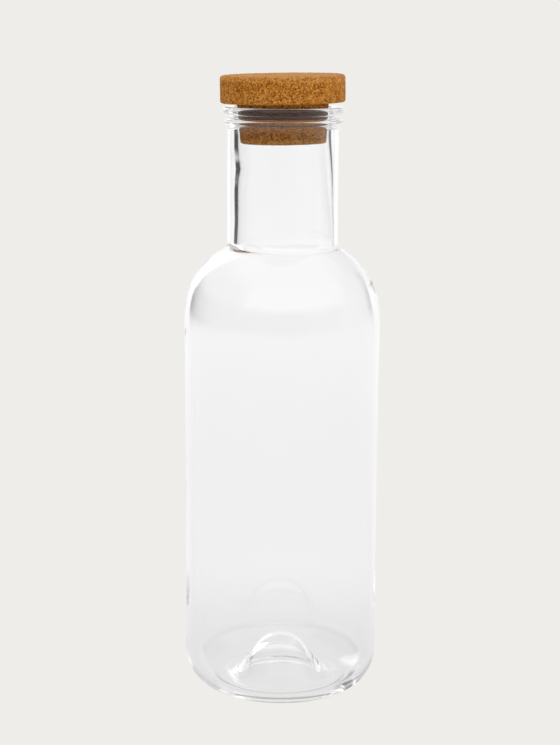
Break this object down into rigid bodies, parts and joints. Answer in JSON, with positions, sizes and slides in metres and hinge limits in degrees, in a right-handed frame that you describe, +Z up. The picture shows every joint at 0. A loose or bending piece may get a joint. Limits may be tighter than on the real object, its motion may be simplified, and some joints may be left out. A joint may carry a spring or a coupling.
{
  "type": "glass carafe",
  "caption": "Clear glass carafe, a straight body with round shoulders and a wide neck, closed by a flat-headed cork stopper.",
  "frame": {"origin": "middle of the base, on the surface that the carafe stands on", "axes": "+Z up along the bottle's axis, -Y towards the viewer"},
  "size_m": [0.0884, 0.0884, 0.2812],
  "materials": {
    "clear_glass": "smooth, clear and colourless",
    "cork": "pressed cork granules, matte"
  },
  "bodies": {
    "root": {"bottle": "clear_glass", "stopper": "cork"}
  },
  "joints": []
}
